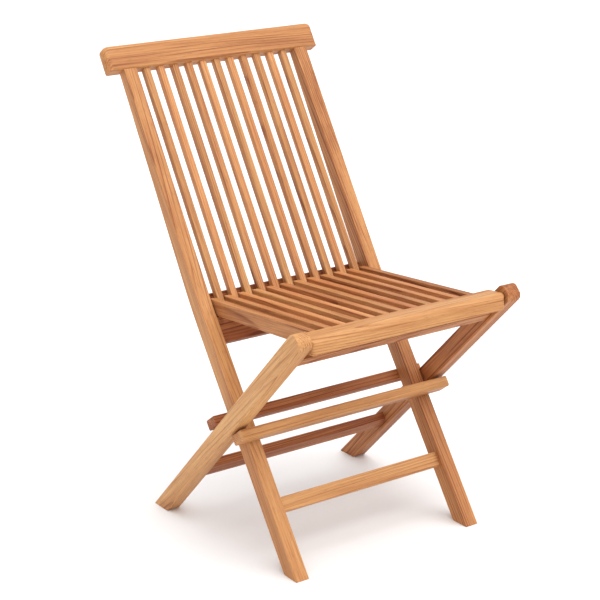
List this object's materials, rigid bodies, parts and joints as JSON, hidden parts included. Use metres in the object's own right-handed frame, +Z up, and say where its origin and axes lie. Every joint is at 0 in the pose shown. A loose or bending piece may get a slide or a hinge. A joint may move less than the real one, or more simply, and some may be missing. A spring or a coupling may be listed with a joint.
{
  "type": "folding garden chair",
  "caption": "Folding slatted teak chair without armrests, with a raked slatted back, a slatted seat that lifts, and crossing legs that close flat against the back.",
  "frame": {"origin": "on the floor, under the middle of the chair's bounding box", "axes": "+X to the right as seen from the front, +Y towards the back, +Z up; the chair faces -Y"},
  "size_m": [0.4742, 0.6686, 0.8865],
  "materials": {
    "teak_frame": "oiled teak, fine straight grain",
    "teak_back_slats": "oiled teak, fine straight grain",
    "teak_seat_slats": "oiled teak, fine straight grain",
    "dowel_wood": "plain dowel",
    "steel": "plain stainless rod"
  },
  "bodies": {
    "back_frame": {"stile_left": "teak_frame", "stile_right": "teak_frame", "top_rail": "teak_frame", "back_slat_01": "teak_back_slats", "back_slat_02": "teak_back_slats", "back_slat_03": "teak_back_slats", "back_slat_04": "teak_back_slats", "back_slat_05": "teak_back_slats", "back_slat_06": "teak_back_slats", "back_slat_07": "teak_back_slats", "back_slat_08": "teak_back_slats", "back_slat_09": "teak_back_slats", "back_slat_10": "teak_back_slats", "back_slat_11": "teak_back_slats", "lower_back_rail": "teak_frame", "front_cross_bar": "teak_frame", "rear_cross_bar": "teak_frame", "front_stretcher": "teak_frame", "seat_pivot_rod": "steel", "leg_pivot_pins": "steel", "leg_pivot_washers": "steel", "cross_bar_dowels": "dowel_wood"},
    "seat": {"seat_slat_01": "teak_seat_slats", "seat_slat_02": "teak_seat_slats", "seat_slat_03": "teak_seat_slats", "seat_slat_04": "teak_seat_slats", "seat_slat_05": "teak_seat_slats", "seat_slat_06": "teak_seat_slats", "seat_slat_07": "teak_seat_slats", "seat_slat_08": "teak_seat_slats", "seat_slat_09": "teak_seat_slats", "seat_slat_10": "teak_seat_slats", "seat_slat_11": "teak_seat_slats", "seat_slat_12": "teak_seat_slats", "seat_front_rail": "teak_frame"},
    "leg_frame": {"leg_left": "teak_frame", "leg_right": "teak_frame", "seat_support": "teak_frame", "rear_stretcher": "teak_frame"}
  },
  "joints": [
    {"name": "seat_fold", "type": "hinge", "parent": "back_frame", "child": "seat", "pos_m": [0, 0.05336, 0.4305], "axis": [-1, 0, 0], "range_deg": [0, 110]},
    {"name": "leg_fold", "type": "hinge", "parent": "back_frame", "child": "leg_frame", "pos_m": [0, -0.07318, 0.23758], "axis": [-1, 0, 0], "range_deg": [0, 70.5]}
  ],
  "couplings": [
    {"joint": "leg_fold", "follows": "seat_fold", "ratio": 0.64}
  ]
}
